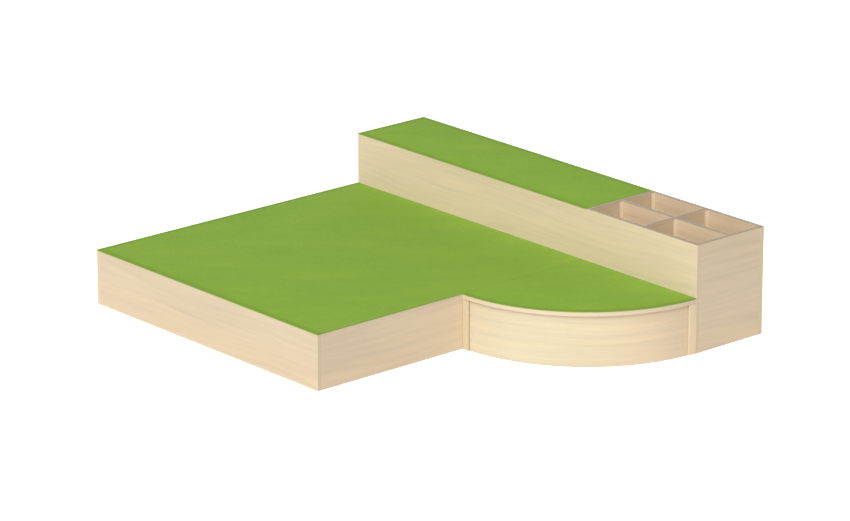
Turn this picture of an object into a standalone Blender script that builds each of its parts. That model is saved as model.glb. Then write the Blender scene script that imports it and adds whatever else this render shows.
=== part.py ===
"""Children's stage platform set, made of separate boards, posts, ribs, carpets and fasteners.

Three modules stand against each other: a low square platform, a low quarter-round platform and a taller
bench. The bench's right end is an open-topped store with four compartments.

Units are metres and +Z is up. The origin is on the floor under the middle of the whole set. The front of
the set faces -Y, and the bench runs along X at the back.
"""
import math

import bmesh
import bpy
from mathutils import Matrix, Vector

# Overall sizes of the modules
SQUARE_WIDTH = 1.500
SQUARE_DEPTH = 1.500
LOW_HEIGHT = 0.250
QUARTER_RADIUS = 0.700
BENCH_DEPTH = 0.400
BENCH_HEIGHT = 0.485
STORE_LENGTH = 0.680

# Boards, carpets and battens
BOARD = 0.018
CARPET = 0.005
CURVED_PLY = 0.009
EDGE_ROUND = 0.001
POST = 0.038
CLEAT = 0.025
FORMER_WIDTH = 0.060
OVERHANG = 0.008
POST_SET = 0.002
BEARER = 0.020
FILLET = 0.016
FILLET_DROP = 0.003

# Joints: how deep a board's end is housed in a panel, and how far ribs and bearers stay off the ground
HOUSING = 0.005
RIB_LIFT = 0.008
BEARER_LIFT = 0.022

# Connectors: a bolt and the sleeve nut that it screws into. Each stops short of the far panel's face
BOLT_RADIUS = 0.003
BOLT_SHORT = 0.006
SOCKET_RADIUS = 0.0025
SOCKET = 0.0015
SLEEVE_WALL = 0.0015
SLEEVE_SHORT = 0.006
HEAD_RIM = 0.0034
BOLT_HEAD = 0.003
SLEEVE_FLANGE = 0.002

# Clearances: the gap between pieces that touch, the free end of a cleat, and how far a cutter runs past
# the face that it opens
GAP = 0.0003
CLEAT_END = 0.002
PAST = 0.002

# Facets of the round shapes, and the angle at which an edge is shaded sharp
ARC_STEPS = 30
FASTENER_SIDES = 16
SHARP_ANGLE = math.radians(30)

# Places that follow from the sizes. The bench is as long as the two low platforms in front of it
BENCH_LENGTH = SQUARE_WIDTH + QUARTER_RADIUS
LEFT = -BENCH_LENGTH / 2
RIGHT = BENCH_LENGTH / 2
FRONT = -(SQUARE_DEPTH + BENCH_DEPTH) / 2
BACK = (SQUARE_DEPTH + BENCH_DEPTH) / 2
SQUARE_RIGHT = LEFT + SQUARE_WIDTH
BENCH_FRONT = FRONT + SQUARE_DEPTH
SQUARE_BACK = BENCH_FRONT - GAP
LOW_WOOD = LOW_HEIGHT - CARPET
LOW_UNDER_BOARD = LOW_WOOD - BOARD - GAP
BENCH_WOOD = BENCH_HEIGHT - CARPET
BENCH_UNDER_BOARD = BENCH_WOOD - BOARD - GAP
PAST_CORNER = GAP + max(POST, CLEAT) + CLEAT_END
SEAT_END = RIGHT - STORE_LENGTH
STORE_FLOOR = BEARER_LIFT + BEARER + GAP + BOARD
QUARTER_X = SQUARE_RIGHT + GAP
QUARTER_Y = BENCH_FRONT - GAP
TOP_RADIUS = QUARTER_RADIUS - GAP
WALL_RADIUS = TOP_RADIUS - OVERHANG
POST_FACE = TOP_RADIUS - POST_SET
POST_INSIDE = POST_FACE - POST
FORMER_RADIUS = WALL_RADIUS - CURVED_PLY - GAP

# Finishes as base colour, roughness and metallic value
MAPLE = ((0.80, 0.66, 0.47), 0.45, 0.0)
PLAIN_BOARD = ((0.68, 0.56, 0.40), 0.70, 0.0)
SOLID_WOOD = ((0.74, 0.58, 0.38), 0.60, 0.0)
GREEN_CARPET = ((0.24, 0.39, 0.05), 0.95, 0.0)
ZINC_STEEL = ((0.62, 0.62, 0.60), 0.35, 1.0)

# For each node, the shapes to cut from it
cuts = {}


def clear_scene():
    """Start from an empty file."""
    for obj in list(bpy.data.objects):
        bpy.data.objects.remove(obj, do_unlink=True)


def paint(obj, finish):
    """Give an object its own Principled material."""
    colour, roughness, metallic = finish
    material = bpy.data.materials.new(obj.name + "_finish")
    material.use_nodes = True
    shader = material.node_tree.nodes["Principled BSDF"]
    shader.inputs["Base Color"].default_value = (*colour, 1.0)
    shader.inputs["Roughness"].default_value = roughness
    shader.inputs["Metallic"].default_value = metallic
    obj.data.materials.append(material)


def finished(name, bm, finish, at=(0, 0, 0), turn=0.0, rounding=0.0):
    """Turn a bmesh into a named object with outward faces, its finish and its rounded edges."""
    bmesh.ops.recalc_face_normals(bm, faces=bm.faces)
    mesh = bpy.data.meshes.new(name)
    bm.to_mesh(mesh)
    bm.free()
    mesh.shade_smooth()
    mesh.set_sharp_from_angle(angle=SHARP_ANGLE)
    obj = bpy.data.objects.new(name, mesh)
    bpy.context.scene.collection.objects.link(obj)
    obj.location = at
    obj.rotation_euler = (0, 0, turn)
    if finish:
        paint(obj, finish)
    if rounding:
        bevel = obj.modifiers.new("rounded_edges", "BEVEL")
        bevel.width = rounding
        bevel.segments = 1
        bevel.limit_method = "ANGLE"
        bevel.angle_limit = SHARP_ANGLE
    return obj


def box_into(bm, x, y, z):
    """Add a box that runs from low to high along X, Y and Z."""
    size = Matrix.Diagonal((x[1] - x[0], y[1] - y[0], z[1] - z[0], 1))
    centre = Matrix.Translation((middle(x), middle(y), middle(z)))
    bmesh.ops.create_cube(bm, size=1, matrix=centre @ size)


def rounding_for(thickness):
    """The edge rounding of a board, limited to a third of its thickness."""
    return min(EDGE_ROUND, thickness / 3)


def board(name, x, y, z, finish=MAPLE, turn=0.0):
    """A squared board, post or batten, placed by the middle of its box."""
    bm = bmesh.new()
    halves = [(high - low) / 2 for low, high in (x, y, z)]
    box_into(bm, *[(-half, half) for half in halves])
    centre = (middle(x), middle(y), middle(z))
    return finished(name, bm, finish, at=centre, turn=turn, rounding=rounding_for(2 * min(halves)))


def plate(name, outline, across, level, finish=MAPLE):
    """A board cut to an outline. across is the axis through its thickness, and level its two sides there."""
    def lift(u, v, w):
        return {"X": (w, u, v), "Y": (u, w, v), "Z": (u, v, w)}[across]
    bm = bmesh.new()
    face = bm.faces.new([bm.verts.new(lift(u, v, level[0])) for u, v in outline])
    grown = bmesh.ops.extrude_face_region(bm, geom=[face])
    moved = [item for item in grown["geom"] if isinstance(item, bmesh.types.BMVert)]
    bmesh.ops.translate(bm, verts=moved, vec=lift(0, 0, level[1] - level[0]))
    return finished(name, bm, finish, rounding=rounding_for(level[1] - level[0]))


def arc(radius, start, end):
    """Points on a circle about the quarter platform's inner corner, by angle from +X."""
    angles = [start + (end - start) * step / ARC_STEPS for step in range(ARC_STEPS + 1)]
    return [(QUARTER_X + radius * math.cos(a), QUARTER_Y + radius * math.sin(a)) for a in angles]


def curved_band(outer, inner, offset):
    """The outline of a quarter ring whose two ends are cut square, at offset from the straight sides."""
    outer_cut = math.asin(offset / outer)
    inner_cut = math.asin(offset / inner)
    quarter = math.pi / 2
    return arc(outer, outer_cut - quarter, -outer_cut) + arc(inner, -inner_cut, inner_cut - quarter)


def lathe_into(bm, profile, place):
    """Add a turned solid. Its profile is (radius, height) points from axis to axis, or a closed ring."""
    rings = []
    for radius, height in profile:
        if radius == 0:
            rings.append([bm.verts.new(place @ Vector((0, 0, height)))] * FASTENER_SIDES)
            continue
        angles = [2 * math.pi * side / FASTENER_SIDES for side in range(FASTENER_SIDES)]
        points = [Vector((radius * math.cos(a), radius * math.sin(a), height)) for a in angles]
        rings.append([bm.verts.new(place @ point) for point in points])
    if profile[0][0] != 0:
        rings.append(rings[0])
    for ring, after in zip(rings, rings[1:]):
        for side in range(FASTENER_SIDES):
            following = (side + 1) % FASTENER_SIDES
            corners = (ring[side], ring[following], after[following], after[side])
            bm.faces.new(dict.fromkeys(corners))


def standing_at(point, direction):
    """The matrix that stands a turned piece at a point, with its axis along a direction."""
    turn = Vector((0, 0, 1)).rotation_difference(Vector(direction))
    return Matrix.Translation(point) @ turn.to_matrix().to_4x4()


def turned(name, profile, place, finish):
    """A turned fastener."""
    bm = bmesh.new()
    lathe_into(bm, profile, place)
    finished(name, bm, finish)


def drill(nodes, profile, place):
    """Note a turned hole in each of the nodes."""
    for node in nodes:
        cuts.setdefault(node, []).append(lambda bm: lathe_into(bm, profile, place))


def groove(node, x, y, z):
    """Note a squared groove in a node."""
    cuts.setdefault(node, []).append(lambda bm: box_into(bm, x, y, z))


def cut_nodes():
    """Cut each node with one cutter that holds all its grooves and holes."""
    for node, shapes in cuts.items():
        bm = bmesh.new()
        for add_shape in shapes:
            add_shape(bm)
        cutter = finished(node + "_cutter", bm, None)
        cutter.hide_render = True
        cutter.display_type = "WIRE"
        cut = bpy.data.objects[node].modifiers.new("grooves_and_holes", "BOOLEAN")
        cut.operation = "DIFFERENCE"
        cut.solver = "EXACT"
        cut.object = cutter


def connector(name, point, direction, nodes):
    """A bolt and a sleeve nut through two panels that stand back to back. The point is on the bolt's side."""
    place = standing_at(point, direction)
    through = 2 * BOARD + GAP
    bore = BOLT_RADIUS + GAP
    sleeve_radius = bore + SLEEVE_WALL
    hole = sleeve_radius + GAP
    head_radius = hole + HEAD_RIM
    top = -GAP - BOLT_HEAD
    tip = through - BOLT_SHORT
    bolt = [(0, top + SOCKET), (SOCKET_RADIUS, top + SOCKET), (SOCKET_RADIUS, top),
            (head_radius - EDGE_ROUND, top), (head_radius, top + EDGE_ROUND),
            (head_radius, -GAP), (BOLT_RADIUS, -GAP), (BOLT_RADIUS, tip), (0, tip)]
    turned(name + "_bolt", bolt, place, ZINC_STEEL)
    face = through + GAP
    rim = face + SLEEVE_FLANGE
    sleeve = [(bore, rim), (head_radius - EDGE_ROUND, rim), (head_radius, rim - EDGE_ROUND),
              (head_radius, face), (sleeve_radius, face), (sleeve_radius, SLEEVE_SHORT), (bore, SLEEVE_SHORT)]
    turned(name + "_sleeve_nut", sleeve, place, ZINC_STEEL)
    drill(nodes, [(0, -PAST), (hole, -PAST), (hole, through + PAST), (0, through + PAST)], place)


def middle(span):
    """The middle of a low and a high value."""
    return (span[0] + span[1]) / 2


def fitted(span):
    """A board's span between two faces, with a clearance at both ends."""
    return (span[0] + GAP, span[1] - GAP)


def wider(span, by):
    """A span made longer at both ends."""
    return (span[0] - by, span[1] + by)


def share(span, part):
    """The place at a share of the way from low to high."""
    return span[0] + (span[1] - span[0]) * part


def rib_pair(span):
    """The two sides of each of the two boards that split a span into three equal bays."""
    bay = (span[1] - span[0] - 2 * BOARD) / 3
    return [(span[0] + bay, span[0] + bay + BOARD), (span[1] - bay - BOARD, span[1] - bay)]


def middle_board(span):
    """The two sides of a board in the middle of a span."""
    return (middle(span) - BOARD / 2, middle(span) + BOARD / 2)


def bays(span, between):
    """The clear spans that the dividing boards leave."""
    lows = [span[0]] + [high for _, high in between]
    highs = [low for low, _ in between] + [span[1]]
    return list(zip(lows, highs))


def housed(span):
    """A board's length between two panels, with its ends let into their grooves."""
    return wider(span, HOUSING - GAP)


def housing_grooves(panels, along, inner, crossing, z):
    """Cut the grooves for a board's two ends in the panels at the low and high end of an inner span."""
    wide = wider(crossing, GAP)
    low = (inner[0] - HOUSING, inner[0] + PAST)
    high = (inner[1] - PAST, inner[1] + HOUSING)
    for panel, deep in zip(panels, (low, high)):
        if along == "X":
            groove(panel, deep, wide, z)
        else:
            groove(panel, wide, deep, z)


def halve_together(long_node, long_y, cross_node, cross_x, z):
    """Halve two crossing boards into each other. The long one runs along X and is slotted from the top."""
    half_way = middle(z)
    groove(long_node, wider(cross_x, GAP), wider(long_y, PAST), (half_way - GAP, z[1] + PAST))
    groove(cross_node, wider(cross_x, PAST), wider(long_y, GAP), (z[0] - PAST, half_way + GAP))


def notch_for_cleats(node, along, inner, crossing, z_top):
    """Cut a rib's two top corners away, so that the cleats along the panels run past it."""
    reach = GAP + CLEAT + GAP
    through = wider(crossing, PAST)
    z = (z_top - CLEAT - GAP, z_top + PAST)
    for end in ((inner[0] - HOUSING - PAST, inner[0] + reach), (inner[1] - reach, inner[1] + HOUSING + PAST)):
        if along == "X":
            groove(node, end, through, z)
        else:
            groove(node, through, end, z)


# Inner spans of the square platform and the bench, and where ribs and dividers cut them into bays
square_x = (LEFT + BOARD, SQUARE_RIGHT - BOARD)
square_y = (FRONT + BOARD, SQUARE_BACK - BOARD)
bench_y = (BENCH_FRONT + BOARD, BACK - BOARD)
seat_x = (LEFT + BOARD, SEAT_END)
store_x = (SEAT_END + BOARD, RIGHT - BOARD)
cross_ribs = rib_pair(square_x)
long_ribs = rib_pair(square_y)
store_cross = middle_board(store_x)
store_long = middle_board(bench_y)

# The ribs' heights. A rib's groove ends below the cleats that run past the rib
low_rib_z = (RIB_LIFT, LOW_UNDER_BOARD)
low_groove_z = (-PAST, LOW_UNDER_BOARD - CLEAT)
bench_rib_z = (RIB_LIFT, BENCH_UNDER_BOARD)
bench_groove_z = (-PAST, BENCH_UNDER_BOARD - CLEAT)


def square_panels():
    """The four upright panels. Each one covers the end of the next, as the photographed corners show."""
    z = (0, LOW_WOOD)
    board("square_left_panel", (LEFT, LEFT + BOARD), (FRONT, SQUARE_BACK), z)
    board("square_front_panel", (square_x[0] + GAP, SQUARE_RIGHT), (FRONT, square_y[0]), z)
    board("square_right_panel", (square_x[1], SQUARE_RIGHT), (square_y[0] + GAP, SQUARE_BACK), z)
    board("square_back_panel", fitted(square_x), (square_y[1], SQUARE_BACK), z)


def square_ribs():
    """Two lengthwise and two crosswise ribs, halved into each other and housed in the panels."""
    long_names = ("square_long_rib_front", "square_long_rib_back")
    cross_names = ("square_cross_rib_left", "square_cross_rib_right")
    for name, level in zip(long_names, long_ribs):
        board(name, housed(square_x), level, low_rib_z, PLAIN_BOARD)
        notch_for_cleats(name, "X", square_x, level, LOW_UNDER_BOARD)
        housing_grooves(("square_left_panel", "square_right_panel"), "X", square_x, level, low_groove_z)
    for name, level in zip(cross_names, cross_ribs):
        board(name, level, housed(square_y), low_rib_z, PLAIN_BOARD)
        notch_for_cleats(name, "Y", square_y, level, LOW_UNDER_BOARD)
        housing_grooves(("square_front_panel", "square_back_panel"), "Y", square_y, level, low_groove_z)
        for long_name, long_level in zip(long_names, long_ribs):
            halve_together(long_name, long_level, name, level, low_rib_z)


def inside_corner(inner_x, inner_y, side_x, side_y, size):
    """The X and Y spans of a square post set into a corner. A side is -1 at the low end and 1 at the high."""
    spans = []
    for inner, side in ((inner_x, side_x), (inner_y, side_y)):
        if side < 0:
            spans.append((inner[0] + GAP, inner[0] + GAP + size))
        else:
            spans.append((inner[1] - GAP - size, inner[1] - GAP))
    return spans


def square_posts():
    """Posts in the four corners, which join the panels and carry the top board's corners."""
    for word_y, side_y in (("front", -1), ("back", 1)):
        for word_x, side_x in (("left", -1), ("right", 1)):
            x, y = inside_corner(square_x, square_y, side_x, side_y, POST)
            board(f"square_post_{word_y}_{word_x}", x, y, (0, LOW_UNDER_BOARD), SOLID_WOOD)


def square_cleats():
    """Cleats along the four panels, through the notches of the ribs, that carry the top board's edges."""
    z = (LOW_UNDER_BOARD - CLEAT, LOW_UNDER_BOARD)
    run_x = (square_x[0] + PAST_CORNER, square_x[1] - PAST_CORNER)
    run_y = (square_y[0] + PAST_CORNER, square_y[1] - PAST_CORNER)
    low_x, low_y = inside_corner(square_x, square_y, -1, -1, CLEAT)
    high_x, high_y = inside_corner(square_x, square_y, 1, 1, CLEAT)
    board("square_cleat_front", run_x, low_y, z, SOLID_WOOD)
    board("square_cleat_back", run_x, high_y, z, SOLID_WOOD)
    board("square_cleat_left", low_x, run_y, z, SOLID_WOOD)
    board("square_cleat_right", high_x, run_y, z, SOLID_WOOD)


def square_top():
    """The top board, let in between the panels, and the carpet that covers it out to the edges."""
    board("square_top_board", fitted(square_x), fitted(square_y), (LOW_WOOD - BOARD, LOW_WOOD), PLAIN_BOARD)
    board("square_carpet", (LEFT, SQUARE_RIGHT), (FRONT, SQUARE_BACK), (LOW_WOOD + GAP, LOW_HEIGHT),
          GREEN_CARPET)


def quarter_walls():
    """The straight sides against the square platform and the bench, and the bent panel between the posts."""
    z = (0, LOW_UNDER_BOARD)
    far = POST_INSIDE - GAP
    board("quarter_left_panel", (QUARTER_X, QUARTER_X + BOARD), (QUARTER_Y - far, QUARTER_Y), z)
    board("quarter_back_panel", (QUARTER_X + BOARD + GAP, QUARTER_X + far), (QUARTER_Y - BOARD, QUARTER_Y), z)
    outline = curved_band(WALL_RADIUS, WALL_RADIUS - CURVED_PLY, POST + GAP)
    plate("quarter_curved_panel", outline, "Z", z)


def quarter_posts():
    """The two end posts that show beside the curve, and the post in the inner corner."""
    z = (0, LOW_UNDER_BOARD)
    board("quarter_post_front", (QUARTER_X, QUARTER_X + POST),
          (QUARTER_Y - POST_FACE, QUARTER_Y - POST_INSIDE), z)
    board("quarter_post_right", (QUARTER_X + POST_INSIDE, QUARTER_X + POST_FACE),
          (QUARTER_Y - POST, QUARTER_Y), z)
    inset = BOARD + GAP
    board("quarter_post_inner", (QUARTER_X + inset, QUARTER_X + inset + POST),
          (QUARTER_Y - inset - POST, QUARTER_Y - inset), z, SOLID_WOOD)


def quarter_frame():
    """Two curved formers that hold the bent panel to its radius, and the diagonal rib behind them."""
    outline = curved_band(FORMER_RADIUS, FORMER_RADIUS - FORMER_WIDTH, POST + GAP)
    plate("quarter_former_upper", outline, "Z", (LOW_UNDER_BOARD - BOARD, LOW_UNDER_BOARD), PLAIN_BOARD)
    plate("quarter_former_lower", outline, "Z", (RIB_LIFT, RIB_LIFT + BOARD), PLAIN_BOARD)
    start = (BOARD + GAP + POST) * math.sqrt(2) + GAP
    end = FORMER_RADIUS - FORMER_WIDTH - GAP
    centre = middle((start, end)) / math.sqrt(2)
    half = (end - start) / 2
    x = QUARTER_X + centre
    y = QUARTER_Y - centre
    board("quarter_rib", (x - half, x + half), (y - BOARD / 2, y + BOARD / 2), low_rib_z, PLAIN_BOARD,
          turn=-math.pi / 4)


def quarter_top():
    """The quarter-round top board, which overhangs the curved panel, and its carpet."""
    outline = [(QUARTER_X, QUARTER_Y)] + arc(TOP_RADIUS, -math.pi / 2, 0)
    plate("quarter_top_board", outline, "Z", (LOW_WOOD - BOARD, LOW_WOOD))
    plate("quarter_carpet", outline, "Z", (LOW_WOOD + GAP, LOW_HEIGHT), GREEN_CARPET)


def bench_panels():
    """The long panels run past the right end panel, and the left end panel covers their other ends.

    Their top edges step down by the carpet's thickness along the seat, so that carpet and rims are level.
    """
    step = SEAT_END - 2 * GAP
    x = (LEFT + BOARD + GAP, RIGHT)
    outline = [(x[0], 0), (x[1], 0), (x[1], BENCH_HEIGHT), (step, BENCH_HEIGHT), (step, BENCH_WOOD),
               (x[0], BENCH_WOOD)]
    plate("bench_front_panel", outline, "Y", (BENCH_FRONT, bench_y[0]))
    plate("bench_back_panel", outline, "Y", (bench_y[1], BACK))
    board("bench_left_panel", (LEFT, LEFT + BOARD), (BENCH_FRONT, BACK), (0, BENCH_WOOD))
    board("bench_right_panel", (store_x[1], RIGHT), fitted(bench_y), (0, BENCH_HEIGHT))


def bench_frame():
    """The partition, and two ribs in line with the square platform's crosswise ribs, all housed."""
    panels = ("bench_front_panel", "bench_back_panel")
    partition_x = (seat_x[1], store_x[0])
    board("bench_partition", partition_x, housed(bench_y), (0, BENCH_HEIGHT))
    housing_grooves(panels, "Y", bench_y, partition_x, (-PAST, BENCH_HEIGHT + PAST))
    for name, level in zip(("bench_rib_left", "bench_rib_right"), cross_ribs):
        board(name, level, housed(bench_y), bench_rib_z, PLAIN_BOARD)
        notch_for_cleats(name, "Y", bench_y, level, BENCH_UNDER_BOARD)
        housing_grooves(panels, "Y", bench_y, level, bench_groove_z)


def bench_posts_and_cleats():
    """Posts inside the left end, and cleats along both long panels through the notches of the ribs."""
    z = (BENCH_UNDER_BOARD - CLEAT, BENCH_UNDER_BOARD)
    run = (seat_x[0] + PAST_CORNER, seat_x[1] - CLEAT_END)
    for word, side in (("front", -1), ("back", 1)):
        x, y = inside_corner(seat_x, bench_y, -1, side, POST)
        board(f"bench_post_{word}", x, y, (0, BENCH_UNDER_BOARD), SOLID_WOOD)
        x, y = inside_corner(seat_x, bench_y, -1, side, CLEAT)
        board(f"bench_cleat_{word}", run, y, z, SOLID_WOOD)


def bench_seat():
    """The seat board, let in between the panels, and the carpet that covers it out to the edges."""
    board("bench_seat_board", fitted(seat_x), fitted(bench_y),
          (BENCH_WOOD - BOARD, BENCH_WOOD), PLAIN_BOARD)
    board("bench_carpet", (LEFT, SEAT_END - 3 * GAP), (BENCH_FRONT, BACK),
          (BENCH_WOOD + GAP, BENCH_HEIGHT), GREEN_CARPET)


def store_fittings():
    """The store's floor on its two bearers, and the dividers, halved into each other and housed."""
    board("store_floor_board", fitted(store_x), fitted(bench_y), (STORE_FLOOR - BOARD, STORE_FLOOR))
    under = STORE_FLOOR - BOARD - GAP
    run = (store_x[0] + CLEAT_END, store_x[1] - CLEAT_END)
    for word, side in (("front", -1), ("back", 1)):
        _, y = inside_corner(store_x, bench_y, -1, side, BEARER)
        board(f"store_bearer_{word}", run, y, (under - BEARER, under), SOLID_WOOD)
    z = (STORE_FLOOR + GAP, BENCH_HEIGHT)
    groove_z = (STORE_FLOOR, BENCH_HEIGHT + PAST)
    board("store_long_divider", housed(store_x), store_long, z)
    board("store_cross_divider", store_cross, housed(bench_y), z)
    halve_together("store_long_divider", store_long, "store_cross_divider", store_cross, z)
    housing_grooves(("bench_partition", "bench_right_panel"), "X", store_x, store_long, groove_z)
    housing_grooves(("bench_front_panel", "bench_back_panel"), "Y", bench_y, store_cross, groove_z)


def store_fillets():
    """The upright fillet in each compartment's left back corner, between the floor and just under the rim."""
    z = (STORE_FLOOR + GAP, BENCH_HEIGHT - FILLET_DROP)
    for word_x, bay_x in zip(("left", "right"), bays(store_x, [store_cross])):
        for word_y, bay_y in zip(("front", "back"), bays(bench_y, [store_long])):
            x = bay_x[0] + GAP
            y = bay_y[1] - GAP
            plate(f"store_fillet_{word_y}_{word_x}", [(x, y), (x, y - FILLET), (x + FILLET, y)], "Z", z)


def module_connectors():
    """Bolts that hold the square platform to the bench, and the quarter platform to the square one."""
    height = middle((0, LOW_WOOD))
    outer_bays = bays(square_x, cross_ribs)
    for word, bay in (("left", outer_bays[0]), ("right", outer_bays[-1])):
        connector(f"bench_{word}", (middle(bay), square_y[1], height), (0, 1, 0),
                  ["square_back_panel", "bench_front_panel"])
    last_bay = bays(square_y, long_ribs)[-1]
    panel_end = QUARTER_Y - (POST_INSIDE - GAP)
    shared = (max(last_bay[0], panel_end), last_bay[1] - GAP - POST)
    for word, part in (("front", 1 / 4), ("back", 3 / 4)):
        connector(f"quarter_{word}", (square_x[1], share(shared, part), height), (1, 0, 0),
                  ["square_right_panel", "quarter_left_panel"])


def main():
    clear_scene()
    square_panels()
    square_ribs()
    square_posts()
    square_cleats()
    square_top()
    quarter_walls()
    quarter_posts()
    quarter_frame()
    quarter_top()
    bench_panels()
    bench_frame()
    bench_posts_and_cleats()
    bench_seat()
    store_fittings()
    store_fillets()
    module_connectors()
    cut_nodes()


main()
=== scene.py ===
# %% [markdown]
# # A carpeted stage platform set
# The real object is stage furniture for a nursery or a school. A low square deck, a low quarter-round deck
# and a taller bench stand against each other. Pale maple boards carry grass-green carpet, and the bench ends
# in an open store with four compartments.
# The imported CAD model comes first, as a fixed frame. Its boards keep their shapes, because they are right
# already. This lesson gives them their finishes, lays real carpets on them and adds the small pieces.

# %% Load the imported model
import math

import bmesh
import bpy
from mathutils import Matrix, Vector


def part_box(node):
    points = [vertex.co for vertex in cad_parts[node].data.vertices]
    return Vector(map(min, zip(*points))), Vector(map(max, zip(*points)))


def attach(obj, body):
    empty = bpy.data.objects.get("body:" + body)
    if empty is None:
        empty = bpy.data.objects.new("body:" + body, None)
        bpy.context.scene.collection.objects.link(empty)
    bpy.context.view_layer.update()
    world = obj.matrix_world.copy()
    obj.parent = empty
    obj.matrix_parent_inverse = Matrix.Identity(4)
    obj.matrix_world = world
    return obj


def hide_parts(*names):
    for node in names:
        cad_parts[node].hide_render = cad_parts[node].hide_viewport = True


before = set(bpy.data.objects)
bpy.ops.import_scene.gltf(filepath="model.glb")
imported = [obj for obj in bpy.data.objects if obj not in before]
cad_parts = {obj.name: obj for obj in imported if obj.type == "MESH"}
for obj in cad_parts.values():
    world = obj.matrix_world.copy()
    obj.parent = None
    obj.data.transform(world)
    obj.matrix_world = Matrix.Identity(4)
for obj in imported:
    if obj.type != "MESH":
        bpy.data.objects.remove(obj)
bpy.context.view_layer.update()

bpy.ops.object.select_all(action="DESELECT")

# %% [markdown]
# ## The camera
# The photograph was taken from far away with a long lens, from the front right and a little above. Edges of
# the boards were followed in the photograph, and a camera was fitted to them. A long lens keeps the
# verticals nearly parallel, so a short one placed nearer would be wrong even at the same angle.

# %% Camera
CAMERA_TURN = math.radians(48.70)
CAMERA_PITCH = math.radians(18.27)
CAMERA_PLACE = (13.511, -11.878, 6.204)
FOCAL_LENGTH = 185.7
SENSOR_WIDTH = 36
FARTHEST_SEEN = 400

lens = bpy.data.cameras.new("photo_camera")
lens.sensor_width = SENSOR_WIDTH
lens.lens = FOCAL_LENGTH
lens.clip_end = FARTHEST_SEEN
camera = bpy.data.objects.new("photo_camera", lens)
camera.location = CAMERA_PLACE
camera.rotation_euler = (math.pi / 2 - CAMERA_PITCH, 0, CAMERA_TURN)
bpy.context.scene.collection.objects.link(camera)
bpy.context.scene.camera = camera
print("camera is", round(camera.location.length, 2), "m from the middle of the floor")

# %% [markdown]
# ## Sums on sockets
# A procedural material is arithmetic on patterns. Wiring each Math node by hand hides the formula, so one
# small class wraps a socket, and a sum on it adds the nodes. A second class makes every other node, with its
# settings first and its sockets after them, and a third is a material with the patterns that recur here.

# %% A socket that does sums
class Wire:
    """An output socket. Sums on it add nodes to its material."""

    def __init__(self, finish, socket):
        self.finish = finish
        self.socket = socket

    def output(self, name):
        """Another output of the same node."""
        return Wire(self.finish, self.socket.node.outputs[name])

    def math(self, operation, first, second=None):
        """A Math node on one value or two."""
        sockets = {0: first} if second is None else {0: first, 1: second}
        return self.finish.add("ShaderNodeMath", {"operation": operation}, sockets)

    def __add__(self, other):
        return self.math("ADD", self, other)

    def __sub__(self, other):
        return self.math("SUBTRACT", self, other)

    def __rsub__(self, other):
        return self.math("SUBTRACT", other, self)

    def __mul__(self, other):
        return self.math("MULTIPLY", self, other)

    __radd__ = __add__
    __rmul__ = __mul__

    def size(self):
        """The value without its sign."""
        return self.math("ABSOLUTE", self)

    def sine(self):
        """The sine of an angle."""
        return self.math("SINE", self)

    def larger(self, other):
        """The larger of two values."""
        return self.math("MAXIMUM", self, other)

    def smaller(self, other):
        """The smaller of two values."""
        return self.math("MINIMUM", self, other)

    def rise(self, low, high):
        """0 below low, 1 above high, and a smooth rise between."""
        span = {"Value": self, "From Min": low, "From Max": high, "To Min": 0.0, "To Max": 1.0}
        return self.finish.add("ShaderNodeMapRange", {"interpolation_type": "SMOOTHSTEP"}, span)

    def vector(self, operation, other):
        """A Vector Math node on a vector or colour and another."""
        return self.finish.add("ShaderNodeVectorMath", {"operation": operation}, {0: self, 1: other})

    def plus(self, other):
        """A vector with another added."""
        return self.vector("ADD", other)

    def minus(self, other):
        """A vector with another taken off."""
        return self.vector("SUBTRACT", other)

    def times(self, factors):
        """A vector or colour, multiplied part by part."""
        return self.vector("MULTIPLY", factors)

    def length(self):
        """How long a vector is."""
        return self.finish.add("ShaderNodeVectorMath", {"operation": "LENGTH"}, {0: self}).output("Value")


# %% Nodes, of the world or of a material
class NodeTree:
    """The nodes of a world or a material."""

    def __init__(self, tree):
        self.tree = tree
        self.nodes = tree.nodes

    def feed(self, node, name, value):
        """Link a socket, or set its value."""
        named = [s for s in node.inputs if s.name == name and s.enabled]
        socket = named[0] if named else node.inputs[name]
        if isinstance(value, Wire):
            self.tree.links.new(value.socket, socket)
        else:
            socket.default_value = value

    def add(self, kind, settings=None, sockets=None):
        """Add a node, with its settings first. Its first output comes back."""
        node = self.nodes.new(kind)
        for name, value in (settings or {}).items():
            setattr(node, name, value)
        for name, value in (sockets or {}).items():
            self.feed(node, name, value)
        return Wire(self, next(s for s in node.outputs if s.enabled))

    def parts(self, vector):
        """A vector's three values."""
        split = self.add("ShaderNodeSeparateXYZ", None, {"Vector": vector})
        return {axis: split.output(axis) for axis in "XYZ"}

    def joined(self, x, y, z):
        """A vector of three values."""
        return self.add("ShaderNodeCombineXYZ", None, {"X": x, "Y": y, "Z": z})


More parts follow.
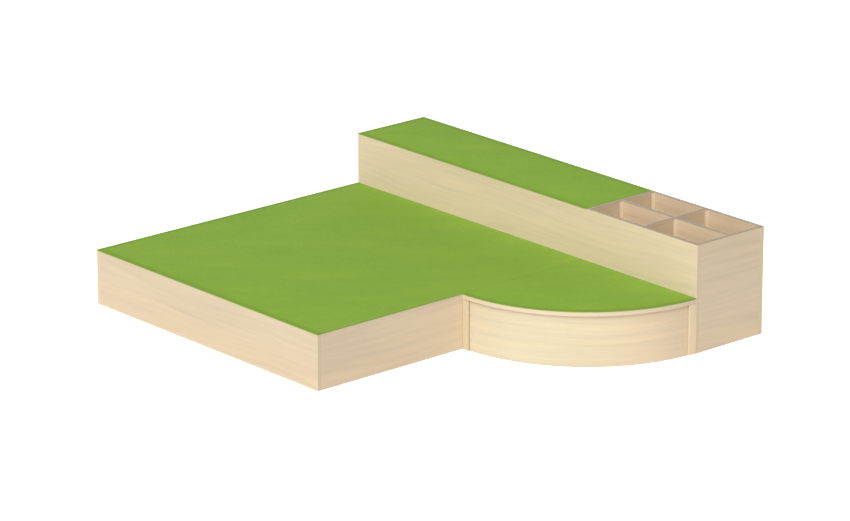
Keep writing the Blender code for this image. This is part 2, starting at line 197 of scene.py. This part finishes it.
# %% A material
class Finish(NodeTree):
    """A material with a Principled shader."""

    def __init__(self, name, **fixed):
        self.material = bpy.data.materials.new(name)
        self.material.use_nodes = True
        super().__init__(self.material.node_tree)
        self.shader = self.nodes["Principled BSDF"]
        for socket, value in fixed.items():
            self.shader.inputs[socket.replace("_", " ")].default_value = value

    def place(self):
        """The point on the piece, in metres from the origin."""
        return self.add("ShaderNodeTexCoord").output("Object")

    def normal(self):
        """The direction that the surface faces."""
        return self.add("ShaderNodeTexCoord").output("Normal")

    def turned(self, vector, angle):
        """A place or a direction, turned about the upright axis."""
        return self.add("ShaderNodeMapping", None, {"Vector": vector, "Rotation": (0, 0, angle)})

    def noise(self, place, waves, detail=2.0, roughness=0.5):
        """Soft noise about zero, with so many waves to the metre along each axis."""
        sockets = {"Vector": place.times(waves), "Scale": 1.0, "Detail": detail, "Roughness": roughness}
        return self.add("ShaderNodeTexNoise", None, sockets) - 0.5

    def blend(self, factor, first, second):
        """A colour between two others."""
        ends = [colour if isinstance(colour, Wire) else (*colour, 1) for colour in (first, second)]
        sockets = {"Factor": factor, "A": ends[0], "B": ends[1]}
        return self.add("ShaderNodeMix", {"data_type": "RGBA"}, sockets)

    def scaled(self, colour, factor):
        """A colour, made lighter or darker by a value."""
        return self.add("ShaderNodeVectorMath", {"operation": "SCALE"}, {0: colour, "Scale": factor})

    def relief(self, height, strength, distance):
        """Bump from a height, given to the shader."""
        sockets = {"Height": height, "Strength": strength, "Distance": distance}
        self.feed(self.shader, "Normal", self.add("ShaderNodeBump", None, sockets))


def tinted(tone, factors):
    """A plain colour, multiplied part by part."""
    return tuple(part * factor for part, factor in zip(tone, factors))


print("sockets can be added, subtracted and multiplied")

# %% [markdown]
# ## Light
# In the photograph the front faces are the brightest, the right ones come next, and the walls inside the
# store are dull though they face the same way. So part of the light comes from low in front, where the
# store's walls don't see it, and most of the rest from high up. Each lamp was rendered alone, and their
# strengths were then chosen so that their sum has the photograph's tones. Wide suns do this with less noise
# than area lamps. The world is a dim ceiling over a bright floor. A weak lamp behind lights the sides that
# the photograph doesn't show.

# %% World and suns
CEILING_LIGHT = 0.09
FLOOR_LIGHT = 0.67
HORIZON_BLUR = 0.06
SUNS = {
    "high_sun": {"from": (0.73, -1.55, 2.84), "energy": 3.30, "angle": 50},
    "low_front": {"from": (0.10, -1.00, 0.09), "energy": 0.74, "angle": 45},
    "low_right": {"from": (1.00, -0.10, 0.09), "energy": 0.50, "angle": 45},
    "back_fill": {"from": (-0.70, 0.70, 0.10), "energy": 1.15, "angle": 50},
}

world = bpy.data.worlds.new("soft_room")
world.use_nodes = True
sky = NodeTree(world.node_tree)
above = sky.parts(sky.add("ShaderNodeTexCoord").output("Generated"))["Z"].rise(-HORIZON_BLUR, HORIZON_BLUR)
sky.feed(sky.nodes["Background"], "Color", (1, 1, 1, 1))
sky.feed(sky.nodes["Background"], "Strength", above * (CEILING_LIGHT - FLOOR_LIGHT) + FLOOR_LIGHT)
bpy.context.scene.world = world

for name, made in SUNS.items():
    lamp = bpy.data.lights.new(name, "SUN")
    lamp.energy = made["energy"]
    lamp.angle = math.radians(made["angle"])
    sun = bpy.data.objects.new(name, lamp)
    sun.rotation_euler = (-Vector(made["from"])).to_track_quat("-Z", "Y").to_euler()
    bpy.context.scene.collection.objects.link(sun)

bpy.context.scene.view_settings.view_transform = "Standard"
print("suns:", list(SUNS))

# %% [markdown]
# ## The ground
# A white paper roll under the object, far wider than the view. It is stage, not part of the object. The
# camera alone sees it, so it neither throws light up at the boards nor takes the world's light from them.

# %% White ground
GROUND_WIDTH = 240
GROUND_HEIGHT = -0.0005
PAPER_TONE = (0.9, 0.9, 0.9)
PAPER_GRAIN = 0.02

bpy.ops.mesh.primitive_plane_add(size=GROUND_WIDTH, location=(0, 0, GROUND_HEIGHT))
ground = bpy.context.object
ground.name = "white_ground"
paper = Finish("white_paper", Roughness=0.9, Emission_Color=(1, 1, 1, 1), Emission_Strength=0.5)
paper_grain = paper.noise(paper.place(), (3, 3, 3))
paper.feed(paper.shader, "Base Color", paper.scaled(PAPER_TONE, paper_grain * PAPER_GRAIN + 1))
ground.data.materials.append(paper.material)
for ray in ("diffuse", "glossy", "transmission", "shadow"):
    setattr(ground, "visible_" + ray, False)
print("ground is", ground.dimensions.x, "m wide")

# %% [markdown]
# ## Maple boards
# The boards are chipboard faced with a printed maple film, as most school furniture is. Its grain runs along
# each board's length. A wave texture could draw the rings, but it looks like a zebra at once. Stretched noise
# gives the calm figure of such film: broad tone first, then soft growth rings that wander, then fine fibres
# and a few short flecks. The cut edges carry a plain band in nearly the same tone, and it is paler on the
# eased corners, partly where hands have rubbed them and partly as a painted highlight. Round the open store
# the photograph shows dark rims, so the boards there get one. Near the floor the film is painted a little
# lighter and warmer, as painted light bounced up from the floor.

# %% Grain and directions
def along_grain(finish, place, grain, through):
    """A place, turned so that X follows the grain, Y crosses it and Z goes through the board."""
    parts = finish.parts(place)
    across = ({"X", "Y", "Z"} - {grain, through}).pop()
    return finish.joined(parts[grain], parts[across], parts[through])


def faces_along(directions, axis):
    """1 where the surface faces along an axis, either way, and 0 where it faces across it."""
    return directions[axis].size().rise(0.5, 0.8)


# %% Maple figure
WOOD_IOR = 1.45
RING_WANDER = 0.12
WARM = (1.0, 0.965, 0.90)
WARM_SHARE = 0.28


def maple_figure(finish, place):
    """Light and dark of the film: its patterns about zero, and the shade that they make, about one."""
    tone = finish.noise(place, (0.8, 5.0, 5.0), 2.0)
    wander = finish.noise(place, (1.3, 4.0, 4.0), 1.0)
    bent = place.plus(finish.joined(0.0, wander * RING_WANDER, 0.0))
    rings = finish.noise(bent, (1.6, 42.0, 42.0), 3.0, 0.6)
    fibres = finish.noise(place, (9.0, 420.0, 420.0), 2.0)
    shade = tone * 0.18 + rings * 0.31 + fibres * 0.10 + 1
    return {"tone": tone, "rings": rings, "fibres": fibres, "shade": shade}


def warm_rings(finish, board, figure):
    """A board's colour, made a little warmer where its rings are pale."""
    return finish.blend(figure["rings"].rise(-0.10, 0.22) * WARM_SHARE, board, board.times(WARM))


def satin(finish, figure):
    """The film's satin gloss and its slight relief."""
    finish.feed(finish.shader, "Roughness", figure["tone"] * 0.12 + figure["fibres"] * 0.10 + 0.46)
    finish.relief(figure["fibres"] + figure["rings"] * 0.6, 0.10, 0.0004)


print("rings wander by up to", RING_WANDER / 2, "m, and pale ones are warmer by", WARM)


# %% Maple film on a board
MAPLE_TONE = (0.775, 0.624, 0.433)
EDGE_BAND = (0.97, 0.975, 0.97)
RUBBED_AND_HIGHLIGHT = (1.05, 1.05, 1.08)
RUBBED_AND_HIGHLIGHT_SHARE = 0.35
FLOOR_BOUNCE_PAINT = (0.055, 0.022, 0.0)
FLOOR_BOUNCE_HEIGHT = 0.22
STORE_RIM = (0.34, 0.315, 0.262)
BENCH_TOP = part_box("bench_right_panel")[1].z
RIM_START = BENCH_TOP - 0.002
RIM_FULL = BENCH_TOP - 0.0005


def maple(name, grain, through, tone=MAPLE_TONE, band=EDGE_BAND, dark_rim=False):
    """Maple film on a board. Its edge band is the tone times band, and a dark rim is for the open store."""
    finish = Finish(name, IOR=WOOD_IOR)
    place = along_grain(finish, finish.place(), grain, through)
    figure = maple_figure(finish, place)
    flecks = finish.noise(place, (28.0, 300.0, 300.0), 1.0).rise(0.17, 0.30)
    board = warm_rings(finish, finish.scaled(tone, figure["shade"] - flecks * 0.05), figure)
    # Painted light: the film is lighter and warmer towards the floor, standing in for light bounced up from
    # it.
    height = finish.parts(finish.place())["Z"]
    painted_floor_bounce = 1 - height.rise(0.0, FLOOR_BOUNCE_HEIGHT)
    board = board.times(finish.scaled(FLOOR_BOUNCE_PAINT, painted_floor_bounce).plus((1, 1, 1)))

    directions = finish.parts(finish.normal())
    edge = 1 - faces_along(directions, through)
    colour = finish.blend(edge, board, finish.scaled(tinted(tone, band), figure["fibres"] * 0.08 + 1))
    # The eased corners are paler: partly rubbed wear, partly a painted highlight on the bevel.
    squarest = directions["X"].size().larger(directions["Y"].size()).larger(directions["Z"].size())
    corner = 1 - squarest.rise(0.80, 0.95)
    colour = finish.blend(corner * RUBBED_AND_HIGHLIGHT_SHARE, colour, tinted(tone, RUBBED_AND_HIGHLIGHT))
    if dark_rim:
        on_top = directions["Z"].rise(0.1, 0.4) * height.rise(RIM_START, RIM_FULL)
        rim = finish.scaled(tinted(tone, STORE_RIM), figure["fibres"] * 0.10 + 1)
        colour = finish.blend(on_top, colour, rim)
    finish.feed(finish.shader, "Base Color", colour)
    satin(finish, figure)
    return finish.material


print("maple tone:", MAPLE_TONE, "and rims at", round(BENCH_TOP, 4), "m in the store")

# %% Maple on the straight boards
DECK_TONE = (0.728, 0.592, 0.408)
DECK_BAND = (1.03, 1.03, 1.0)
STORE_BAND = (0.99, 1.0, 0.90)
# The two corner posts get painted light: the right post is lighter, partly a paler wood and partly painted
# light on its face, the front post is darker as painted shade in its corner, and each post's edge band is
# darker as painted shade.
FRONT_POST_PAINTED_SHADE = {"tone": (0.665, 0.565, 0.378), "band": (0.84, 0.82, 0.80)}
RIGHT_POST_PAINTED_LIGHT = {"tone": (0.93, 0.745, 0.505), "band": (0.70, 0.71, 0.72)}


def dress(material, *nodes):
    """Give CAD nodes a material."""
    for node in nodes:
        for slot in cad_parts[node].material_slots:
            slot.material = material
    print(material.name, "on nodes:", len(nodes))


dress(maple("maple_lengthwise", "X", "Y", tone=DECK_TONE, band=DECK_BAND),
      "square_front_panel", "square_back_panel", "quarter_back_panel")
dress(maple("maple_crosswise", "Y", "X"),
      "square_left_panel", "square_right_panel", "quarter_left_panel", "bench_left_panel")
dress(maple("maple_bench_front", "X", "Y", dark_rim=True), "bench_front_panel")
dress(maple("maple_store_lengthwise", "X", "Y", band=STORE_BAND, dark_rim=True),
      "bench_back_panel", "store_long_divider")
dress(maple("maple_store_crosswise", "Y", "X", dark_rim=True),
      "bench_right_panel", "bench_partition", "store_cross_divider")
dress(maple("maple_flat", "X", "Z"), "store_floor_board", "quarter_top_board")
dress(maple("maple_post_front", "Z", "Y", **FRONT_POST_PAINTED_SHADE), "quarter_post_front")
dress(maple("maple_post_right", "Z", "X", **RIGHT_POST_PAINTED_LIGHT), "quarter_post_right")

# %% [markdown]
# ## The bent panel
# The curved front is thin plywood, bent round two formers and faced with the same maple. Its grain follows
# the curve. Straight coordinates would cut across it, so the angle round the inner corner, times the radius,
# takes the place of the length.

# %% Maple round the curve
CURVE_CORNER = Vector((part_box("quarter_top_board")[0].x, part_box("quarter_top_board")[1].y, 0))
CURVE_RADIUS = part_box("quarter_post_right")[1].x - CURVE_CORNER.x
BENT_TONE = (0.725, 0.616, 0.417)
BENT_END_PAINTED_LIGHT = (0.795, 0.620, 0.420)
PAINTED_LIGHT_TURN = (-1.0, -0.1)
BENT_PLIES = 4200
BENT_VENEERS = (0.62, 0.47, 0.30), (0.74, 0.60, 0.42)


def bent_maple(name):
    """Maple film whose grain runs round the curve, over thin plies. Its tone turns towards the right end, as
    painted light.
    """
    finish = Finish(name, IOR=WOOD_IOR)
    from_corner = finish.place().minus(tuple(CURVE_CORNER))
    parts = finish.parts(from_corner)
    angle = parts["Y"].math("ARCTAN2", parts["Y"], parts["X"])
    radius = from_corner.times((1, 1, 0)).length()
    figure = maple_figure(finish, finish.joined(angle * CURVE_RADIUS, parts["Z"], radius))
    # Painted light: the tone shifts along the curve, from its front-facing part to its right end, as the
    # light on it changes.
    tone = finish.blend(angle.rise(*PAINTED_LIGHT_TURN), BENT_TONE, BENT_END_PAINTED_LIGHT)
    board = warm_rings(finish, finish.scaled(tone, figure["shade"]), figure)
    veneers = finish.blend((radius * BENT_PLIES).sine() * 0.5 + 0.5, *BENT_VENEERS)
    edge = faces_along(finish.parts(finish.normal()), "Z")
    finish.feed(finish.shader, "Base Color", finish.blend(edge, board, veneers))
    satin(finish, figure)
    return finish.material


dress(bent_maple("maple_bent"), "quarter_curved_panel")
print("curve radius:", round(CURVE_RADIUS, 4))

# %% [markdown]
# ## Plywood inside
# Ribs, formers and the boards under the carpet are raw birch plywood. What tells plywood from solid wood is
# its edge, where pale and brown veneers alternate through the thickness. The stripes are counted from the
# middle of each board, so each board gets its own material.

# %% Birch plywood
PLY_TONE = (0.66, 0.53, 0.37)
PLY_VENEERS = (0.50, 0.36, 0.22), (0.70, 0.56, 0.39)
VENEER = 0.0014


def plywood(node, grain, through, turn=0.0):
    """Raw birch plywood for one board, with stripes on its edges."""
    finish = Finish("plywood_" + node, IOR=WOOD_IOR)
    low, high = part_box(node)
    centred = finish.turned(finish.place().minus(tuple((low + high) / 2)), turn)
    directions = finish.parts(finish.turned(finish.normal(), turn))
    place = along_grain(finish, centred, grain, through)
    figure = finish.noise(place, (1.5, 16.0, 16.0), 3.0)
    pores = finish.noise(place, (30.0, 600.0, 600.0), 1.0)
    knots = finish.noise(place, (9.0, 20.0, 1.0), 1.0).rise(0.24, 0.34)
    face = finish.scaled(PLY_TONE, figure * 0.22 + pores * 0.12 + 1 - knots * 0.18)
    stripe = (finish.parts(centred)[through] * (math.pi / VENEER)).sine()
    veneers = finish.blend(stripe.rise(-0.4, 0.4), *PLY_VENEERS)
    edge = 1 - faces_along(directions, through)
    finish.feed(finish.shader, "Base Color", finish.blend(edge, face, veneers))
    finish.feed(finish.shader, "Roughness", figure * 0.15 + 0.68)
    finish.relief(pores + stripe * edge * 0.3, 0.35, 0.0005)
    return finish.material


PLYWOOD = {
    "square_long_rib_front": ("X", "Y"), "square_long_rib_back": ("X", "Y"),
    "square_cross_rib_left": ("Y", "X"), "square_cross_rib_right": ("Y", "X"),
    "bench_rib_left": ("Y", "X"), "bench_rib_right": ("Y", "X"),
    "square_top_board": ("X", "Z"), "bench_seat_board": ("X", "Z"),
    "quarter_former_upper": ("X", "Z"), "quarter_former_lower": ("X", "Z"),
    "quarter_rib": ("X", "Y", math.radians(45)),
}
for node, directions in PLYWOOD.items():
    dress(plywood(node, *directions), node)

# %% [markdown]
# ## Posts and cleats
# The battens that join the boards from inside are planed softwood. A tree's rings are nested tubes, so the
# distance from a line beside the batten gives arches on its faces and arcs on its end grain from the one
# formula. Noise bends the line, as in a real trunk.

# %% Softwood
PINE_EARLY = (0.78, 0.62, 0.40)
PINE_LATE = (0.62, 0.42, 0.22)
RING_PITCH = 0.0032
FROM_HEART = (0, 0.045, 0.07)
TRUNK_BEND = 0.012
LATE_SHARE = 0.75


def softwood(name, grain, through):
    """Planed softwood along one axis, with its growth rings about a line outside the batten."""
    finish = Finish(name, IOR=WOOD_IOR)
    place = along_grain(finish, finish.place(), grain, through)
    bend = finish.noise(place, (1.6, 6.0, 6.0), 2.0)
    distance = place.plus(FROM_HEART).times((0, 1, 1)).length()
    rings = ((distance + bend * TRUNK_BEND) * (2 * math.pi / RING_PITCH)).sine()
    late = rings.rise(0.25, 1.0)
    fibres = finish.noise(place, (14.0, 500.0, 500.0), 2.0)
    colour = finish.blend(late * LATE_SHARE, PINE_EARLY, PINE_LATE)
    finish.feed(finish.shader, "Base Color", finish.scaled(colour, bend * 0.14 + fibres * 0.16 + 1))
    finish.feed(finish.shader, "Roughness", 0.62 - late * 0.10 + fibres * 0.10)
    finish.relief(late * 0.5 + fibres, 0.30, 0.0005)
    return finish.material


POSTS = [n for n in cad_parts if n.startswith(("square_post", "bench_post"))] + ["quarter_post_inner"]
dress(softwood("pine_upright", "Z", "Y"), *POSTS)
dress(softwood("pine_lengthwise", "X", "Z"), "square_cleat_front", "square_cleat_back", "bench_cleat_front",
      "bench_cleat_back", "store_bearer_front", "store_bearer_back")
dress(softwood("pine_crosswise", "Y", "Z"), "square_cleat_left", "square_cleat_right")

# %% [markdown]
# ## Zinc-plated connectors
# Bolts and sleeve nuts hold the modules together. Bright zinc shows faint crystals and fine turning marks,
# which a plain metal colour lacks. Small cells of slightly different grey and roughness give the crystals.

# %% Zinc plating
ZINC_TONE = (0.64, 0.65, 0.66)
CRYSTALS = 700.0


def zinc():
    """Bright zinc plating."""
    finish = Finish("zinc_plating", Metallic=1.0)
    place = finish.place()
    cells = finish.add("ShaderNodeTexVoronoi", None, {"Vector": place, "Scale": CRYSTALS}).output("Color")
    crystal = finish.parts(cells)["X"]
    scratches = finish.noise(place, (1500.0, 1500.0, 300.0), 2.0)
    shade = crystal * 0.12 + scratches * 0.10 + 0.92
    finish.feed(finish.shader, "Base Color", finish.scaled(ZINC_TONE, shade))
    finish.feed(finish.shader, "Roughness", crystal * 0.14 + scratches * 0.12 + 0.30)
    finish.relief(scratches, 0.25, 0.0002)
    return finish.material


dress(zinc(), *[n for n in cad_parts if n.endswith(("_bolt", "_sleeve_nut"))])

# %% [markdown]
# ## Carpet pile
# The tops carry a short dense needle-felt carpet in grass green. A flat green would look like paint. Small
# cells make the tufts, each a little lighter or darker than the next, and longer soft patches show where the
# pile leans another way. By a free edge the pile is darkened with painted shade, its cut side is painted
# darker as shade, and at the cut a paler backing shows under it.

# %% How far it is to an edge
def to_free_edge(finish, edges):
    """How far a point is from the nearest of some straight edges, each an axis and a position."""
    parts = finish.parts(finish.place())
    nearest = 1.0
    for axis, position in edges:
        nearest = (parts[axis] - position).size().smaller(nearest)
    return nearest


def to_curved_edge(finish, corner, radius):
    """How far a point is inside a curved edge."""
    return radius - finish.place().minus(corner).times((1, 1, 0)).length()


print("edges can be straight or curved")


# %% Carpet material
CARPET_TONE = (0.215, 0.360, 0.046)
YELLOWER = (1.08, 1.02, 0.95)
YELLOWER_SHARE = 0.5
EDGE_SHADE_TONE = (0.84, 0.87, 0.72)
SIDE_SHADE_TONE = (0.55, 0.55, 0.5)
SIDE_SHADE_SHARE = 0.25
BACKING_TONE = (0.42, 0.50, 0.20)
BACKING_BLUR = 0.0003
LEAN = math.radians(48.7)
TUFTS = 420.0
EDGE_SHADE_ZONE = (0.014, 0.032)


def carpet_pile(name, backing_top, edge_distance):
    """Short green pile. The backing reaches up to backing_top, and painted shade darkens the pile by its free
    edges.
    """
    finish = Finish(name, Roughness=0.95, IOR=1.20, Sheen_Weight=0.03, Sheen_Roughness=0.5,
                    Sheen_Tint=(0.6, 1.0, 0.3, 1))
    place = finish.place()
    leaning = finish.turned(place, -LEAN)
    patches = finish.noise(leaning, (3.0, 9.0, 3.0), 3.0, 0.55)
    streaks = finish.noise(leaning, (24.0, 110.0, 20.0), 2.0)
    tufts = finish.add("ShaderNodeTexVoronoi", None, {"Vector": place, "Scale": TUFTS})
    tuft_tone = finish.parts(tufts.output("Color"))["X"] - 0.5
    curls = finish.noise(place, (900.0, 900.0, 900.0), 2.0)
    shade = patches * 0.13 + streaks * 0.14 + tuft_tone * 0.22 + curls * 0.30 + 1
    pile = finish.blend(patches.rise(-0.15, 0.25) * YELLOWER_SHARE, finish.scaled(CARPET_TONE, shade),
                        finish.scaled(tinted(CARPET_TONE, YELLOWER), shade))

    # Painted shade: the pile darkens towards a free edge, where it bends over.
    painted_edge_shade = 1 - edge_distance(finish).rise(*EDGE_SHADE_ZONE)
    pile = finish.blend(painted_edge_shade, pile, tinted(CARPET_TONE, EDGE_SHADE_TONE))
    # Painted shade: the pile's cut side is darker.
    painted_side_shade = 1 - finish.parts(finish.normal())["Z"].rise(0.3, 0.8)
    pile = finish.blend(painted_side_shade * SIDE_SHADE_SHARE, pile, tinted(CARPET_TONE, SIDE_SHADE_TONE))
    backing = 1 - finish.parts(place)["Z"].rise(backing_top - BACKING_BLUR, backing_top + BACKING_BLUR)
    finish.feed(finish.shader, "Base Color", finish.blend(backing, pile, BACKING_TONE))
    finish.feed(finish.shader, "Roughness", tuft_tone * 0.06 + 0.94)
    finish.relief(0.6 - tufts.output("Distance") + curls * 0.6, 0.8, 0.0012)
    return finish.material


print("carpet tone:", CARPET_TONE, "over a backing of", BACKING_TONE)

# %% [markdown]
# ## Laying the carpets
# Each deck's carpet is one flat sheet, glued down and trimmed flush with the boards. The CAD holds a plain
# slab in its place. Pile has no sharp rim, because the blade leaves the outer tufts standing free, so the
# top edge is rounded. The square and the bench carpet start as a box, and the quarter-round one as a
# cylinder that two cuts bring down to a quarter.

# %% Tools for edit mode
NEAR = 1e-4
SMOOTH_BELOW = math.radians(40)


def select_edges(test):
    """Select, in edit mode, the edges whose two ends pass a test."""
    mesh = bmesh.from_edit_mesh(bpy.context.object.data)
    chosen = 0
    for edge in mesh.edges:
        edge.select = all(test(end.co) for end in edge.verts)
        chosen += edge.select
    mesh.select_flush(False)
    bmesh.update_edit_mesh(bpy.context.object.data)
    return chosen


def settle(piece, material):
    """Apply a piece's place, and give it its material and its body."""
    bpy.ops.object.transform_apply(location=True, rotation=True, scale=True)
    bpy.ops.object.shade_smooth_by_angle(angle=SMOOTH_BELOW)
    piece.data.materials.clear()
    piece.data.materials.append(material)
    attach(piece, "root")


print("edges are found to within", NEAR, "m")


# %% A rounded rim
PILE_ROUND = 0.0011
BACKING = 0.0024


def round_pile_rim(top):
    """Bevel the upper rim of the carpet in edit mode."""
    found = select_edges(lambda end: abs(end.z - top) < NEAR)
    bpy.ops.mesh.bevel(offset=PILE_ROUND, segments=3, affect="EDGES")
    return found


print("the pile's rim is rounded by", PILE_ROUND, "m, above a backing of", BACKING, "m")


# %% The square and the bench carpet
def straight_carpet(name, node, free):
    """A rectangular carpet, laid in the place of its CAD slab. Its free sides are named."""
    low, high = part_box(node)
    sides = {"left": ("X", low.x), "right": ("X", high.x), "front": ("Y", low.y), "back": ("Y", high.y)}
    edges = [sides[side] for side in free]
    bpy.ops.object.select_all(action="DESELECT")
    bpy.ops.mesh.primitive_cube_add(size=1, location=(low + high) / 2, scale=high - low)
    piece = bpy.context.object
    piece.name = name
    bpy.ops.object.transform_apply(location=True, rotation=True, scale=True)
    bpy.ops.object.mode_set(mode="EDIT")
    rim = round_pile_rim(high.z)
    bpy.ops.object.mode_set(mode="OBJECT")
    pile = carpet_pile(name + "_pile", low.z + BACKING, lambda finish: to_free_edge(finish, edges))
    settle(piece, pile)
    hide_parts(node)
    print(name, "is", round(high.x - low.x, 4), "by", round(high.y - low.y, 4), "m, rim edges", rim)


straight_carpet("square_carpet_sheet", "square_carpet", ("left", "front"))
straight_carpet("bench_carpet_sheet", "bench_carpet", ("left", "front", "back"))

# %% The quarter-round carpet
ROUND_SIDES = 120

low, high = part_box("quarter_carpet")
radius = high.x - low.x
bpy.ops.object.select_all(action="DESELECT")
bpy.ops.mesh.primitive_cylinder_add(vertices=ROUND_SIDES, radius=radius, depth=high.z - low.z,
                                    location=(low.x, high.y, (low.z + high.z) / 2))
quarter_sheet = bpy.context.object
quarter_sheet.name = "quarter_carpet_sheet"
bpy.ops.object.transform_apply(location=True, rotation=True, scale=True)
bpy.ops.object.mode_set(mode="EDIT")
for side in ((-1, 0, 0), (0, 1, 0)):
    bpy.ops.mesh.select_all(action="SELECT")
    bpy.ops.mesh.bisect(plane_co=(low.x, high.y, 0), plane_no=side, use_fill=True, clear_outer=True)
rim = round_pile_rim(high.z)
bpy.ops.object.mode_set(mode="OBJECT")
quarter_pile = carpet_pile("quarter_carpet_pile", low.z + BACKING,
                           lambda finish: to_curved_edge(finish, (low.x, high.y, 0), radius))
settle(quarter_sheet, quarter_pile)
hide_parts("quarter_carpet")
print("quarter carpet radius", round(radius, 4), "m, rim edges", rim)

# %% [markdown]
# ## Fillets in the store
# A three-cornered strip stands in each corner of the four compartments and keeps the boards square. The CAD
# has the four that the photograph shows. The other twelve are the same strip: one is cut diagonally from a
# square bar and its edges are eased, and copies of it are turned into their corners. The strips are solid
# maple, each with painted shade by the left wall, a painted highlight towards its planed edge, and darkest on
# its end grain.

# %% One fillet, copied to the other corners
STRIP_EASE = 0.0006

strip_low, strip_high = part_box("store_fillet_front_left")
LEG = strip_high.x - strip_low.x
bpy.ops.object.select_all(action="DESELECT")
bpy.ops.mesh.primitive_cube_add(size=1, location=(LEG / 2, LEG / 2, (strip_low.z + strip_high.z) / 2),
                                scale=(LEG, LEG, strip_high.z - strip_low.z))
strip = bpy.context.object
strip.name = "strip_pattern"
bpy.ops.object.transform_apply(location=True, rotation=True, scale=True)
bpy.ops.object.mode_set(mode="EDIT")
bpy.ops.mesh.select_all(action="SELECT")
bpy.ops.mesh.bisect(plane_co=(LEG, 0, 0), plane_no=(1, 1, 0), use_fill=True, clear_outer=True)
select_edges(lambda end: end.x + end.y > LEG - NEAR)
bpy.ops.mesh.bevel(offset=STRIP_EASE, segments=2, affect="EDGES")
bpy.ops.object.mode_set(mode="OBJECT")
print("one strip has", len(strip.data.polygons), "faces")

# %% The four compartments
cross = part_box("store_cross_divider")
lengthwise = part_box("store_long_divider")
BAYS_X = {"left": (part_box("bench_partition")[1].x, cross[0].x),
          "right": (cross[1].x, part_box("bench_right_panel")[0].x)}
BAYS_Y = {"front": (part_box("bench_front_panel")[1].y, lengthwise[0].y),
          "back": (lengthwise[1].y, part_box("bench_back_panel")[0].y)}
print("bays along X:", BAYS_X, "along Y:", BAYS_Y)

# %% Solid maple for the fillets
PAINTED_WALL_SHADE = 0.24
PAINTED_EDGE_HIGHLIGHT = 0.36
END_DARKER = 0.45


def strip_maple(name, left):
    """Solid maple, with painted shade by the wall at x = left and a painted highlight towards one leg away
    from it.
    """
    finish = Finish(name, IOR=WOOD_IOR)
    figure = maple_figure(finish, along_grain(finish, finish.place(), "Z", "Y"))
    away = (finish.parts(finish.place())["X"] - left) * (1 / LEG)
    end_grain = finish.parts(finish.normal())["Z"].rise(0.5, 0.8)
    # Painted shade by the left wall and a painted highlight towards the free edge; the end grain is darker.
    shade = figure["shade"] + away.rise(0.0, 0.6) * PAINTED_EDGE_HIGHLIGHT - PAINTED_WALL_SHADE - end_grain * END_DARKER
    finish.feed(finish.shader, "Base Color", finish.scaled(MAPLE_TONE, shade))
    finish.feed(finish.shader, "Roughness", figure["fibres"] * 0.10 + 0.50)
    finish.relief(figure["fibres"], 0.15, 0.0004)
    return finish.material


STRIPS = {side: strip_maple("maple_strip_" + side, left) for side, (left, right) in BAYS_X.items()}
for side, material in STRIPS.items():
    dress(material, "store_fillet_front_" + side, "store_fillet_back_" + side)

# %% Copies
CLEAR = 0.0003

placed = []
for row, (front, back) in BAYS_Y.items():
    for side, (left, right) in BAYS_X.items():
        corners = {
            "left_front": (left + CLEAR, front + CLEAR, 0),
            "right_front": (right - CLEAR, front + CLEAR, 90),
            "right_back": (right - CLEAR, back - CLEAR, 180),
        }
        for corner, (x, y, turn) in corners.items():
            bpy.ops.object.select_all(action="DESELECT")
            strip.select_set(True)
            bpy.context.view_layer.objects.active = strip
            bpy.ops.object.duplicate(linked=False)
            copy = bpy.context.object
            copy.name = f"fillet_{row}_{side}_bay_{corner}"
            copy.location = (x, y, 0)
            copy.rotation_euler = (0, 0, math.radians(turn))
            settle(copy, STRIPS[side])
            placed.append(copy.name)
bpy.data.objects.remove(strip, do_unlink=True)
print("fillets added:", len(placed))
